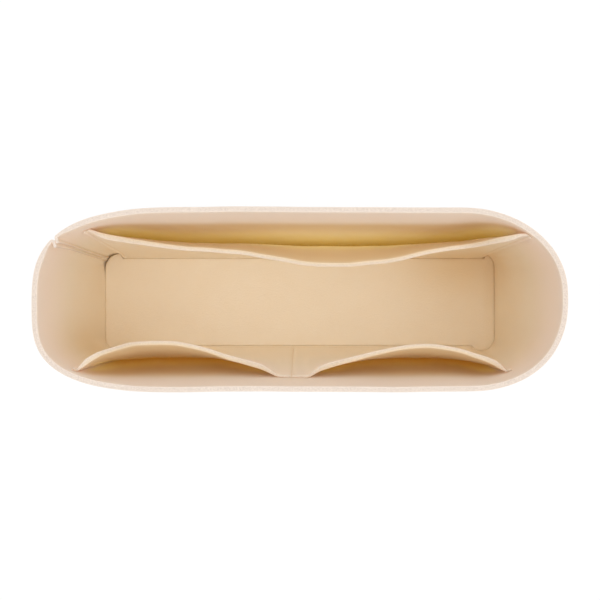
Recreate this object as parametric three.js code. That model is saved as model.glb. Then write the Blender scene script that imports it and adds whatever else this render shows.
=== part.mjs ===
import * as THREE from 'three';

// Felt insert that stands inside a handbag: an open wall, a flat floor, one wide back pocket and two front
// pockets, all cut from flat felt and sewn. Millimetres. X runs along the length, Y to the back wall, Z up.
// It stands on z = 0, centred on the rim.

// Stock
const FELT = 3;                     // thickness of every felt piece
const BOARD = 2;                    // stiffener under the floor panel
const THREAD = 0.6;                 // diameter of the sewing thread
const CLEARANCE = 0.3;              // air between pieces that lie against each other

// Wall, over its outside faces
const HEIGHT = 145;
const RIM_LENGTH = 283;
const RIM_DEPTH = 97.6;
const BASE_LENGTH = 278;
const BASE_DEPTH = 73;
const BASE_CORNER = 11.5;           // corner radius where the wall stands on the base
const LEFT_END_Y = -3;              // Y at which the rim's left end reaches furthest out
const RIGHT_END_Y = 0;              // the same for the right end
const BASE_SQUARE_SHARE = 2;        // exponent of a round corner

// How far each rim corner is rounded along X, and the exponent of its curve
const RIM_BACK_LEFT = 83.9;
const RIM_FRONT_LEFT = 83.9;
const RIM_FRONT_RIGHT = 54.4;
const RIM_BACK_RIGHT = 59.7;
const BACK_LEFT_SQUARE_SHARE = 2.9;
const FRONT_LEFT_SQUARE_SHARE = 3.1;
const FRONT_RIGHT_SQUARE_SHARE = 2.3;
const BACK_RIGHT_SQUARE_SHARE = 2.2;

// Corner seam: both ends of the wall strip thin out, turn inwards and are sewn face to face
const SEAM_FELT = 1.6;              // thickness that the tight seam leaves of the felt
const SEAM_TAPER = 8;               // length before each fold on which the felt thins
const SEAM_TURN = 144.5 * Math.PI / 180;      // where it sits on the back left corner's quarter turn
const TONGUE_BASE_HEADING = -45 * Math.PI / 180;    // direction in plan of the turned ends, at the base
const TONGUE_RIM_HEADING = -74 * Math.PI / 180;     // and at the rim, where they lean over
const TONGUE_BASE = 1.2;            // straight length of a turned end at the base
const TONGUE_RIM = 3;               // and at the rim
const TONGUE_POWER_SHARE = 3;       // how late it grows on the way up
const FOLD_RADIUS = 0.95;           // radius of the fold, on the felt's middle
const FOLD_REACH = 17;              // a fold starts nearer to the seam than this
const FOLD_STEPS = 5;

// Pocket panels. Each mouth's ends are placed from the ends of the base's straight side.
const POCKET_TOP = 119;             // height of the pocket mouths where they stand open
const BACK_LEFT_CLIMB = 13;         // how much higher the panels are sewn at each end of a mouth
const BACK_RIGHT_CLIMB = 22;
const FRONT_LEFT_CLIMB = 20;
const FRONT_RIGHT_CLIMB = 5;
const CLIMB_REACH = 35;             // a mouth is level this far from its end
const CLIMB_POWER_SHARE = 2;        // how late the climb sets in on the way up
const POCKET_SEAM = 14;             // height of the row of stitches along the pockets' bottom
const STITCH_INSET = 2;             // stitches to the cut end of a panel
const BACK_MARGIN = 4;              // sewn strip of the back panel beyond each end of its mouth
const BACK_MOUTH_LEFT_GAP = 8;
const BACK_MOUTH_RIGHT_GAP = 3.1;
const BACK_BULGE = 22.4;            // how far the back panel stands off the wall at its fullest
const FRONT_MARGIN = 3;
const FRONT_MOUTH_LEFT_GAP = 9.4;
const FRONT_MOUTH_RIGHT_GAP = 11;
const FRONT_LEFT_BULGE = 18.4;
const FRONT_RIGHT_BULGE = 16;
const DIVIDER_LEFT = 12;            // flat strip between the front pockets, left and right of the middle
const DIVIDER_RIGHT = 5.5;
const DIVIDER_SEAM = -4.5;
const DIVIDER_FOOT = 3;             // the divider's stitches start this far above the pockets' bottom row
const BULGE_POWER_SHARE = 2.3;      // how late the bulge opens on the way up

// Bulge along a mouth: place along it, and part of the fullest bulge there
const backBulgeShares = [
  [0, 0], [0.02, 0.14], [0.065, 0.32], [0.11, 0.42], [0.16, 0.5], [0.26, 0.6], [0.35, 0.71], [0.44, 0.85],
  [0.51, 0.95], [0.58, 1], [0.64, 0.96], [0.72, 0.82], [0.81, 0.62], [0.91, 0.47], [0.955, 0.31],
  [0.98, 0.16], [1, 0],
];
const frontLeftBulgeShares = [
  [0, 0], [0.02, 0.22], [0.07, 0.52], [0.12, 0.68], [0.18, 0.82], [0.24, 0.94], [0.36, 1], [0.49, 0.94],
  [0.62, 0.75], [0.74, 0.54], [0.87, 0.31], [0.94, 0.17], [1, 0],
];
const frontRightBulgeShares = [
  [0, 0], [0.045, 0.3], [0.11, 0.56], [0.18, 0.72], [0.24, 0.85], [0.3, 0.945], [0.36, 0.99], [0.42, 1],
  [0.54, 0.94], [0.66, 0.77], [0.785, 0.56], [0.905, 0.32], [0.96, 0.18], [1, 0],
];

// Floor panel, set from the inside faces of the wall's ends and of the pocket panels
const FLOOR_GAP_LEFT = 1.2;
const FLOOR_GAP_RIGHT = 1;
const FLOOR_GAP_FRONT = 0.3;
const FLOOR_GAP_BACK = 0.6;
const FLOOR_CORNER = 4;
const FLOOR_SEAM_CORNER = 8;        // the corner that makes room for the wall's turned ends
const BOARD_INSET = 1;              // the stiffener stays this far inside the floor panel's edge
const BOARD_GAP_RIGHT = 7.5;        // and stops short of the right wall, where the floor panel's end is free

// Overcast stitches that hold the wall to the base
const OVERCAST_PITCH = 8;
const OVERCAST_TOP = 6.5;
const OVERCAST_BOTTOM = 0.9;

// Fineness of the faces
const SIDE_STEP = 9;                // widest column on the sides
const CORNER_STEP = 4;              // widest column round the base corners
const POCKET_LEVELS = 6;
const RIM_LEVELS = 2;
const CURVE_STEPS = 72;
const THREAD_SIDES = 5;
const SLOPE_REACH = 1.5;            // half of the stretch on which the outline's direction is taken
const HALVINGS = 40;

const finish = (name, color, roughness) => new THREE.MeshStandardMaterial({ name, color, roughness });
const FELT_FINISH = finish('felt', 0xebd5b4, 0.95);
const BOARD_FINISH = finish('board', 0xcfc6b6, 0.8);
const THREAD_FINISH = finish('thread', 0xf0dec0, 0.7);

const mix = THREE.MathUtils.lerp;
const mapLinear = THREE.MathUtils.mapLinear;
const smooth = THREE.MathUtils.smoothstep;

// The middle of the felt at a share of the way up the wall, as a fine closed line from the corner seam,
// anticlockwise seen from above
function outline(rise) {
  const inset = FELT / 2;
  const halfLength = mix(BASE_LENGTH, RIM_LENGTH, rise) / 2 - inset;
  const halfDepth = mix(BASE_DEPTH, RIM_DEPTH, rise) / 2 - inset;
  const corner = (signX, signY, reach, endY, square) => {
    const rx = mix(BASE_CORNER, reach, rise) - inset;
    const ry = mix(BASE_CORNER, RIM_DEPTH / 2 - signY * endY, rise) - inset;
    const power = 2 / mix(BASE_SQUARE_SHARE, square, rise);
    return (turn) => {
      const c = Math.abs(Math.cos(turn)) ** power;
      const s = Math.abs(Math.sin(turn)) ** power;
      return new THREE.Vector2(signX * (halfLength - rx + rx * c), signY * (halfDepth - ry + ry * s));
    };
  };
  const quarter = Math.PI / 2;
  const backLeft = corner(-1, 1, RIM_BACK_LEFT, LEFT_END_Y, BACK_LEFT_SQUARE_SHARE);
  const turns = [
    [backLeft, SEAM_TURN, 2 * quarter],
    [corner(-1, -1, RIM_FRONT_LEFT, LEFT_END_Y, FRONT_LEFT_SQUARE_SHARE), 2 * quarter, 3 * quarter],
    [corner(1, -1, RIM_FRONT_RIGHT, RIGHT_END_Y, FRONT_RIGHT_SQUARE_SHARE), 3 * quarter, 4 * quarter],
    [corner(1, 1, RIM_BACK_RIGHT, RIGHT_END_Y, BACK_RIGHT_SQUARE_SHARE), 0, quarter],
    [backLeft, quarter, SEAM_TURN],
  ];
  const points = [];
  for (const [at, start, end] of turns) {
    for (let k = 0; k <= CURVE_STEPS; k += 1) points.push(at(mix(start, end, k / CURVE_STEPS)));
  }
  const lengths = [0];
  for (let k = 1; k < points.length; k += 1) {
    lengths.push(lengths[k - 1] + points[k].distanceTo(points[k - 1]));
  }
  const middleAfter = (turnsDone) => {
    const k = turnsDone * (CURVE_STEPS + 1) - 1;
    return lengths[k] + Math.abs(points[k].x);
  };
  return { points, lengths, front: middleAfter(2), back: middleAfter(4), loop: lengths[lengths.length - 1] };
}

function pointOn(line, distance) {
  const wrapped = THREE.MathUtils.euclideanModulo(distance, line.loop);
  let low = 0;
  let high = line.lengths.length - 1;
  while (high - low > 1) {
    const middle = Math.floor((low + high) / 2);
    if (line.lengths[middle] > wrapped) high = middle;
    else low = middle;
  }
  const span = line.lengths[high] - line.lengths[low];
  const share = span > 0 ? (wrapped - line.lengths[low]) / span : 0;
  return line.points[low].clone().lerp(line.points[high], share);
}

function inwardOn(line, distance) {
  const along = pointOn(line, distance + SLOPE_REACH).sub(pointOn(line, distance - SLOPE_REACH)).normalize();
  return new THREE.Vector2(-along.y, along.x);
}

const tongueAt = (rise) => mix(TONGUE_BASE, TONGUE_RIM, rise ** TONGUE_POWER_SHARE);

// One turned end of the strip. The run after the seam has side 1, the run before it side -1. The fold starts
// where its straight part ends up half its thickness and half a clearance off the seam's middle. The outer
// face stays on the outline where the felt is thinner.
function turnedEnd(line, rise, side) {
  const angleInPlan = mix(TONGUE_BASE_HEADING, TONGUE_RIM_HEADING, rise);
  const heading = new THREE.Vector2(Math.cos(angleInPlan), Math.sin(angleInPlan));
  const across = new THREE.Vector2(heading.y, -heading.x).multiplyScalar(side);
  const seam = pointOn(line, 0);
  const offSeam = (SEAM_FELT + CLEARANCE) / 2;
  const centreAt = (start) => {
    const inward = inwardOn(line, side * start);
    return pointOn(line, side * start).addScaledVector(inward, FOLD_RADIUS - (FELT - SEAM_FELT) / 2);
  };
  let near = 0;
  let far = FOLD_REACH;
  for (let k = 0; k < HALVINGS; k += 1) {
    const middle = (near + far) / 2;
    if (centreAt(middle).sub(seam).dot(across) - FOLD_RADIUS > offSeam) far = middle;
    else near = middle;
  }
  const centre = centreAt(far);
  const from = inwardOn(line, side * far).angle() + Math.PI;
  const to = across.clone().negate().angle();
  const turn = side * THREE.MathUtils.euclideanModulo(side * (from - to), 2 * Math.PI);
  const points = [];
  for (let k = 1; k <= FOLD_STEPS; k += 1) {
    const angle = from - turn * k / FOLD_STEPS;
    points.push(new THREE.Vector2(Math.cos(angle), Math.sin(angle)).multiplyScalar(FOLD_RADIUS).add(centre));
  }
  points.push(points[points.length - 1].clone().addScaledVector(heading, tongueAt(rise)));
  return { start: far, points };
}

// Stations along the wall from the corner seam, laid out on the base, where every corner is a quarter circle
const base = outline(0);
const baseFolds = [turnedEnd(base, 0, 1), turnedEnd(base, 0, -1)];
const middleRadius = BASE_CORNER - FELT / 2;
const cornerRun = middleRadius * Math.PI / 2;
const seamToLeft = middleRadius * (Math.PI - SEAM_TURN);
const endRun = BASE_DEPTH - 2 * BASE_CORNER;
const sideRun = BASE_LENGTH - 2 * BASE_CORNER;
const frontStart = base.front - sideRun / 2;
const frontMiddle = base.front;
const rightStart = frontStart + sideRun + cornerRun;
const backStart = base.back - sideRun / 2;
const backMiddle = base.back;

const frontMouthLeft = frontStart + FRONT_MOUTH_LEFT_GAP;
const frontMouthRight = frontStart + sideRun - FRONT_MOUTH_RIGHT_GAP;
const backMouthRight = backStart + BACK_MOUTH_RIGHT_GAP;
const backMouthLeft = backStart + sideRun - BACK_MOUTH_LEFT_GAP;

const stations = {
  fold: baseFolds[0].start,
  leftStart: seamToLeft,
  leftEnd: seamToLeft + endRun,
  frontStart,
  frontPanelLeft: frontMouthLeft - FRONT_MARGIN,
  frontSeamLeft: frontMouthLeft - FRONT_MARGIN + STITCH_INSET,
  frontMouthLeft,
  dividerLeft: frontMiddle - DIVIDER_LEFT,
  dividerSeam: frontMiddle + DIVIDER_SEAM,
  dividerRight: frontMiddle + DIVIDER_RIGHT,
  frontMouthRight,
  frontSeamRight: frontMouthRight + FRONT_MARGIN - STITCH_INSET,
  frontPanelRight: frontMouthRight + FRONT_MARGIN,
  frontEnd: frontStart + sideRun,
  rightStart,
  rightEnd: rightStart + endRun,
  backStart,
  backPanelRight: backMouthRight - BACK_MARGIN,
  backSeamRight: backMouthRight - BACK_MARGIN + STITCH_INSET,
  backMouthRight,
  backMouthLeft,
  backSeamLeft: backMouthLeft + BACK_MARGIN - STITCH_INSET,
  backPanelLeft: backMouthLeft + BACK_MARGIN,
  backEnd: backStart + sideRun,
  lastFold: base.loop - baseFolds[1].start,
};

const cornerZones = [
  [stations.fold, stations.leftStart],
  [stations.leftEnd, stations.frontStart],
  [stations.frontEnd, stations.rightStart],
  [stations.rightEnd, stations.backStart],
  [stations.backEnd, stations.lastFold],
];

const columns = [];
const columnOf = {};
const marks = Object.entries(stations).sort((a, b) => a[1] - b[1]);
marks.forEach(([name, place], k) => {
  columnOf[name] = columns.length;
  columns.push(place);
  if (k === marks.length - 1) return;
  const next = marks[k + 1][1];
  const middle = (place + next) / 2;
  const inCorner = cornerZones.some(([start, end]) => middle > start && middle < end);
  const count = Math.ceil((next - place) / (inCorner ? CORNER_STEP : SIDE_STEP));
  for (let j = 1; j < count; j += 1) columns.push(mix(place, next, j / count));
});

// Heights of the rows of vertices
const heights = [FELT, POCKET_SEAM];
const seamLevel = heights.length - 1;
heights.push(POCKET_SEAM + DIVIDER_FOOT);
const dividerLevel = heights.length - 1;
for (let k = 1; k <= POCKET_LEVELS; k += 1) heights.push(mix(POCKET_SEAM, POCKET_TOP, k / POCKET_LEVELS));
const mouthLevel = heights.length - 1;
for (let k = 1; k <= RIM_LEVELS; k += 1) heights.push(mix(POCKET_TOP, HEIGHT, k / RIM_LEVELS));

// A line moved sideways, inwards where a distance is positive, with its bends kept parallel. Each point has
// its own distance.
function offsetEach(line, distances) {
  const left = line.slice(1).map((point, k) => {
    const along = point.clone().sub(line[k]).normalize();
    return new THREE.Vector2(-along.y, along.x);
  });
  return line.map((point, k) => {
    const one = left[Math.max(k - 1, 0)];
    const two = left[Math.min(k, left.length - 1)];
    const bisector = one.clone().add(two).normalize();
    return point.clone().addScaledVector(bisector, distances[k] / bisector.dot(two));
  });
}

function offsetLine(line, distance) {
  return offsetEach(line, line.map(() => distance));
}

const riseAt = (height) => (height - FELT) / (HEIGHT - FELT);

// The wall's thickness at each column
const thicknesses = columns.map((place) => {
  const fromFold = Math.min(place - stations.fold, stations.lastFold - place);
  return mix(SEAM_FELT, FELT, smooth(fromFold, 0, SEAM_TAPER));
});

// The wall's middle line at each height: the free run as if it had its full thickness everywhere, and the
// whole strip with both turned ends. The middle of the front and of the back stay above each other.
const legs = [stations.fold, frontMiddle, backMiddle, stations.lastFold];
const runs = heights.map((height) => {
  const rise = riseAt(height);
  const line = outline(rise);
  const after = turnedEnd(line, rise, 1);
  const before = turnedEnd(line, rise, -1);
  const here = [after.start, line.front, line.back, line.loop - before.start];
  const free = columns.map((place) => {
    const leg = [frontMiddle, backMiddle].filter((middle) => place > middle).length;
    return pointOn(line, mapLinear(place, legs[leg], legs[leg + 1], here[leg], here[leg + 1]));
  });
  const tapered = offsetEach(free, thicknesses.map((thickness) => (thickness - FELT) / 2));
  return { free, folded: [...after.points.reverse(), ...tapered, ...before.points], seam: pointOn(line, 0) };
});

const lift = (point, height) => new THREE.Vector3(point.x, point.y, height);

// Where one column of the wall is at any height, moved inwards by a distance
function besideWall(i, height, distance) {
  const above = Math.max(heights.findIndex((level) => level >= height), 1);
  const below = above - 1;
  const share = Math.max(height - heights[below], 0) / (heights[above] - heights[below]);
  const low = offsetLine(runs[below].free, distance)[i];
  return low.lerp(offsetLine(runs[above].free, distance)[i], share);
}

function closedGeometry(vertices, faces) {
  const geometry = new THREE.BufferGeometry();
  const coordinates = vertices.flatMap((vertex) => vertex.toArray());
  geometry.setAttribute('position', new THREE.Float32BufferAttribute(coordinates, 3));
  geometry.setIndex(faces.flat());
  geometry.computeVertexNormals();
  return geometry;
}

// A sheet of felt standing on edge, from rows of its middle, each with a plan and levels, and from half its
// thickness at each column
function sheetGeometry(rows, halves) {
  const across = halves.length;
  const face = (side) => rows.flatMap(({ plan, levels }) => {
    return offsetEach(plan, halves.map((half) => side * half)).map((point, i) => lift(point, levels[i]));
  });
  const vertices = [...face(1), ...face(-1)];
  const index = (side, j, i) => (side * rows.length + j) * across + i;
  const faces = [];
  const quad = (a, b, c, d) => faces.push([a, b, c], [a, c, d]);
  const top = rows.length - 1;
  for (let j = 0; j < top; j += 1) {
    for (let i = 0; i < across - 1; i += 1) {
      quad(index(0, j, i), index(0, j + 1, i), index(0, j + 1, i + 1), index(0, j, i + 1));
      quad(index(1, j, i), index(1, j, i + 1), index(1, j + 1, i + 1), index(1, j + 1, i));
    }
    quad(index(0, j, 0), index(1, j, 0), index(1, j + 1, 0), index(0, j + 1, 0));
    const last = across - 1;
    quad(index(0, j, last), index(0, j + 1, last), index(1, j + 1, last), index(1, j, last));
  }
  for (let i = 0; i < across - 1; i += 1) {
    quad(index(0, 0, i), index(0, 0, i + 1), index(1, 0, i + 1), index(1, 0, i));
    quad(index(0, top, i), index(1, top, i), index(1, top, i + 1), index(0, top, i + 1));
  }
  return closedGeometry(vertices, faces);
}

// A thread laid along points, each with the direction that stands off the felt there
function threadGeometry(route) {
  const vertices = [];
  const faces = [];
  const lastRing = route.length - 1;
  route.forEach(({ point, off }, k) => {
    const from = route[Math.max(k - 1, 0)].point;
    const to = route[Math.min(k + 1, lastRing)].point;
    const along = to.clone().sub(from).normalize();
    const sideways = along.clone().cross(off).normalize();
    const out = sideways.clone().cross(along);
    for (let s = 0; s < THREAD_SIDES; s += 1) {
      const angle = 2 * Math.PI * s / THREAD_SIDES;
      vertices.push(point.clone()
        .addScaledVector(out, THREAD / 2 * Math.cos(angle))
        .addScaledVector(sideways, THREAD / 2 * Math.sin(angle)));
    }
  });
  for (let k = 0; k < lastRing; k += 1) {
    for (let s = 0; s < THREAD_SIDES; s += 1) {
      const a = k * THREAD_SIDES + s;
      const b = k * THREAD_SIDES + (s + 1) % THREAD_SIDES;
      faces.push([a, b, b + THREAD_SIDES], [a, b + THREAD_SIDES, a + THREAD_SIDES]);
    }
  }
  const end = lastRing * THREAD_SIDES;
  for (let s = 1; s < THREAD_SIDES - 1; s += 1) {
    faces.push([0, s + 1, s], [end, end + s, end + s + 1]);
  }
  return closedGeometry(vertices, faces);
}

const group = new THREE.Group();
group.name = 'purse_organizer_insert';

function add(name, geometry, material) {
  const mesh = new THREE.Mesh(geometry, material);
  mesh.name = name;
  group.add(mesh);
}

// Wall
const wallRows = runs.map(({ folded }, row) => {
  return { plan: folded, levels: folded.map(() => heights[row]) };
});
const endHalves = baseFolds[0].points.map(() => SEAM_FELT / 2);
const wallHalves = [...endHalves, ...thicknesses.map((thickness) => thickness / 2), ...endHalves];
add('wall_strip', sheetGeometry(wallRows, wallHalves), FELT_FINISH);

// Base panel under the wall's foot, flush with the wall's outer face
const footLine = offsetLine([...runs[0].free, runs[0].seam, runs[0].free[0]], -FELT / 2).slice(0, -1);

function plate(shape, thickness, height) {
  const geometry = new THREE.ExtrudeGeometry(shape, { depth: thickness, bevelEnabled: false });
  geometry.translate(0, 0, height);
  return geometry;
}

add('base_panel', plate(new THREE.Shape(footLine), FELT, 0), FELT_FINISH);

// Floor panel on its stiffener
function floorShape(inset, rightGap) {
  const halfLength = BASE_LENGTH / 2 - FELT - inset;
  const halfDepth = BASE_DEPTH / 2 - FELT - CLEARANCE - FELT - inset;
  const left = FLOOR_GAP_LEFT - halfLength;
  const right = BASE_LENGTH / 2 - FELT - rightGap;
  const front = FLOOR_GAP_FRONT - halfDepth;
  const back = halfDepth - FLOOR_GAP_BACK;
  const round = FLOOR_CORNER - inset;
  const seamRound = FLOOR_SEAM_CORNER - inset;
  const shape = new THREE.Shape();
  shape.absarc(right - round, front + round, round, -Math.PI / 2, 0);
  shape.absarc(right - round, back - round, round, 0, Math.PI / 2);
  shape.absarc(left + seamRound, back - seamRound, seamRound, Math.PI / 2, Math.PI);
  shape.absarc(left + round, front + round, round, Math.PI, 3 * Math.PI / 2);
  return shape;
}

add('base_board', plate(floorShape(BOARD_INSET, BOARD_GAP_RIGHT), BOARD, FELT), BOARD_FINISH);
add('floor_panel', plate(floorShape(0, FLOOR_GAP_RIGHT), FELT, FELT + BOARD), FELT_FINISH);

// Pocket panels lie on the wall and stand off it between the ends of each mouth
function bulgeAt(shares, share) {
  const curve = new THREE.SplineCurve(shares.map(([along, out]) => new THREE.Vector2(along, out)));
  let low = 0;
  let high = 1;
  for (let k = 0; k < HALVINGS; k += 1) {
    const middle = (low + high) / 2;
    if (curve.getPoint(middle).x > share) high = middle;
    else low = middle;
  }
  return Math.max(curve.getPoint(low).y, 0);
}

const pockets = [
  { start: 'frontMouthLeft', end: 'dividerLeft', bulge: FRONT_LEFT_BULGE, shares: frontLeftBulgeShares },
  { start: 'frontMouthRight', end: 'dividerRight', bulge: FRONT_RIGHT_BULGE, shares: frontRightBulgeShares },
  { start: 'backMouthLeft', end: 'backMouthRight', bulge: BACK_BULGE, shares: backBulgeShares },
];

function standOff(place, lean) {
  let out = 0;
  for (const pocket of pockets) {
    const share = mapLinear(place, stations[pocket.start], stations[pocket.end], 0, 1);
    if (share <= 0 || share >= 1) continue;
    out = pocket.bulge * bulgeAt(pocket.shares, share) * lean ** BULGE_POWER_SHARE;
  }
  return out;
}

// The rows of a panel, which fan out upwards near the ends of its mouth
function panelRows({ first, last, start, end, startClimb, endClimb }) {
  return heights.slice(0, mouthLevel + 1).map((height) => {
    const lean = Math.max(height - POCKET_SEAM, 0) / (POCKET_TOP - POCKET_SEAM);
    const plan = [];
    const levels = [];
    for (let i = first; i <= last; i += 1) {
      const atStart = 1 - smooth(columns[i], start, start + CLIMB_REACH);
      const atEnd = smooth(columns[i], end - CLIMB_REACH, end);
      const climb = startClimb * atStart + endClimb * atEnd;
      const level = height + climb * lean ** CLIMB_POWER_SHARE;
      const near = besideWall(i, level, FELT + CLEARANCE);
      const far = besideWall(i, level, FELT + CLEARANCE + FELT);
      const inward = far.sub(near).divideScalar(FELT);
      plan.push(near.addScaledVector(inward, standOff(columns[i], lean)));
      levels.push(level);
    }
    return { plan, levels };
  });
}

const backFirst = columnOf.backPanelRight;
const frontFirst = columnOf.frontPanelLeft;
const backRows = panelRows({
  first: backFirst,
  last: columnOf.backPanelLeft,
  start: stations.backMouthRight,
  end: stations.backMouthLeft,
  startClimb: BACK_RIGHT_CLIMB,
  endClimb: BACK_LEFT_CLIMB,
});
const frontRows = panelRows({
  first: frontFirst,
  last: columnOf.frontPanelRight,
  start: stations.frontMouthLeft,
  end: stations.frontMouthRight,
  startClimb: FRONT_LEFT_CLIMB,
  endClimb: FRONT_RIGHT_CLIMB,
});
const panelHalves = (rows) => rows[0].plan.map(() => FELT / 2);
add('back_pocket_panel', sheetGeometry(backRows, panelHalves(backRows)), FELT_FINISH);
add('front_pocket_panel', sheetGeometry(frontRows, panelHalves(frontRows)), FELT_FINISH);

// Threads. The needle thread lies on the inner face of what is sewn, the bobbin thread on the outer face.
const THREAD_OFF = FELT / 2 + CLEARANCE + THREAD / 2;

function needlePoint({ plan, levels }, i) {
  const near = offsetLine(plan, THREAD_OFF)[i];
  const far = offsetLine(plan, THREAD_OFF + FELT)[i];
  return { point: lift(near, levels[i]), off: lift(far.sub(near), 0).normalize() };
}

function bobbinPoint(i, height) {
  const near = besideWall(i, height, -THREAD_OFF);
  const far = besideWall(i, height, -THREAD_OFF - FELT);
  return { point: lift(near, height), off: lift(far.sub(near), 0).normalize() };
}

function addThread(name, route) {
  add(name, threadGeometry(route), THREAD_FINISH);
}

function seamPair(name, places, rows, panelFirst) {
  const needle = places.map(([level, i]) => needlePoint(rows[level], i - panelFirst));
  const bobbin = places.map(([level, i]) => bobbinPoint(i, rows[level].levels[i - panelFirst]));
  addThread(`${name}_needle_thread`, needle);
  addThread(`${name}_bobbin_thread`, bobbin);
}

// Down one end of the panel, along its bottom and up the other end
function pocketPlaces(first, last) {
  const places = [];
  for (let level = mouthLevel; level > seamLevel; level -= 1) places.push([level, first]);
  for (let i = first; i <= last; i += 1) places.push([seamLevel, i]);
  for (let level = seamLevel + 1; level <= mouthLevel; level += 1) places.push([level, last]);
  return places;
}

const dividerPlaces = [];
for (let level = dividerLevel; level <= mouthLevel; level += 1) {
  dividerPlaces.push([level, columnOf.dividerSeam]);
}

const backPlaces = pocketPlaces(columnOf.backSeamRight, columnOf.backSeamLeft);
const frontPlaces = pocketPlaces(columnOf.frontSeamLeft, columnOf.frontSeamRight);
seamPair('back_pocket', backPlaces, backRows, backFirst);
seamPair('front_pocket', frontPlaces, frontRows, frontFirst);
seamPair('pocket_divider', dividerPlaces, frontRows, frontFirst);

// Corner seam, half way along the turned ends, on the face that each of them turns away from the other
const TONGUE_THREAD_OFF = SEAM_FELT / 2 + CLEARANCE + THREAD / 2;

function tonguePoint(level, tip, side) {
  const ends = runs[level].folded;
  const outward = ends[tip].clone().sub(ends[tip + (tip === 0 ? 1 : -1)]).normalize();
  const off = new THREE.Vector2(outward.y, -outward.x).multiplyScalar(side);
  const middle = ends[tip].clone().addScaledVector(outward, -tongueAt(riseAt(heights[level])) / 2);
  return { point: lift(middle.addScaledVector(off, TONGUE_THREAD_OFF), heights[level]), off: lift(off, 0) };
}

const lastPoint = runs[0].folded.length - 1;
addThread('corner_seam_needle_thread', heights.map((_, level) => tonguePoint(level, 0, 1)));
addThread('corner_seam_bobbin_thread', heights.map((_, level) => tonguePoint(level, lastPoint, -1)));

// Overcast thread, over and under the joint between the wall's foot and the base panel
function overcastPoint(i, share, height) {
  const here = bobbinPoint(i, height);
  const next = bobbinPoint(i + 1, height);
  return { point: here.point.lerp(next.point, share), off: here.off.lerp(next.off, share).normalize() };
}

const overcast = [];
for (let i = 0; i < columns.length - 1; i += 1) {
  const count = Math.max(Math.round((columns[i + 1] - columns[i]) / OVERCAST_PITCH), 1);
  for (let k = 0; k < count; k += 1) {
    overcast.push(overcastPoint(i, k / count, OVERCAST_TOP));
    overcast.push(overcastPoint(i, (k + 1 / 2) / count, OVERCAST_BOTTOM));
  }
}
addThread('base_overcast_thread', overcast);

export default group;
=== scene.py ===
import math

import bmesh
import bpy
import numpy as np
from mathutils import Matrix, Vector


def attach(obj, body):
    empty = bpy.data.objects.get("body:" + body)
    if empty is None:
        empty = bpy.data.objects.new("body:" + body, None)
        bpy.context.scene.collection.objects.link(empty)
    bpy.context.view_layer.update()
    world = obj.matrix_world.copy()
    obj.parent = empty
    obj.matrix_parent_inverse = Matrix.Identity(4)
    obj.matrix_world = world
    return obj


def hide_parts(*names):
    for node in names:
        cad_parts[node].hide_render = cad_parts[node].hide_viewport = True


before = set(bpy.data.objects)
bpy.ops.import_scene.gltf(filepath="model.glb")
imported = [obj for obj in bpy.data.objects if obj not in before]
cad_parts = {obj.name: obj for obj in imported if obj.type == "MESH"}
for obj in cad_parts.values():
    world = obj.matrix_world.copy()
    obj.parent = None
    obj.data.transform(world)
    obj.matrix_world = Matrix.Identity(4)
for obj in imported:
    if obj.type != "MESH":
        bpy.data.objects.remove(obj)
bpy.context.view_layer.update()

# Felt insert that stands inside a handbag: an open wall with its ends turned in and sewn at the back left
# corner, a flat floor, one wide back pocket and two front pockets. Sizes are in millimetres, but for the
# camera, the materials and the finished meshes, which are in metres.
MM = 0.001

# Stock
FELT = 3.0
BOARD = 2.0
THREAD = 0.6
CLEARANCE = 0.3
EDGE_ROUND = 0.6  # how far the knife's crisp edge has softened
FOOT_ROUND = 0.15  # the same for the edges that a seam presses together
FLOOR_EDGE_ROUND = 0.7  # the floor's edges are pressed round by this much
FLOOR_EDGE_REACH = 2.6  # over this width

# Wall
HEIGHT = 145.0
RIM_LENGTH = 283.0
RIM_DEPTH = 97.6
BASE_LENGTH = 278.0
BASE_DEPTH = 73.0
BASE_CORNER = 11.5
BASE_SQUARE = 2.0  # exponent of the corners: 2 is a circle, more is squarer
# The rim's corners: how far each curve reaches along the side, the y where the wall's end is furthest out,
# and the exponent
RIM_BACK_LEFT = (83.9, -3.0, 2.9)
RIM_FRONT_LEFT = (83.9, -3.0, 3.1)
RIM_FRONT_RIGHT = (54.4, 0.0, 2.3)
RIM_BACK_RIGHT = (59.7, 0.0, 2.2)

# Corner seam
SEAM_TURN = math.radians(144.5)  # where it stands on the corner's curve
TONGUE_BASE_HEADING = math.radians(-45)
TONGUE_RIM_HEADING = math.radians(-74)
TONGUE_BASE = 0.7  # how far the turned ends stand in, at the base and at the rim
TONGUE_RIM = 3.0
TONGUE_POWER = 6  # most of that comes close to the rim
SEAM_FELT = 1.6  # thickness that the tight seam leaves of the felt
SEAM_TAPER = 11.0  # length on which the felt is full again beside the fold
SEAM_GAP = 0.06
FOLD_RADIUS = 0.95
FOLD_REACH = 17.0  # no fold starts further than this from the seam
FOLD_STEPS = 10

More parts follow.
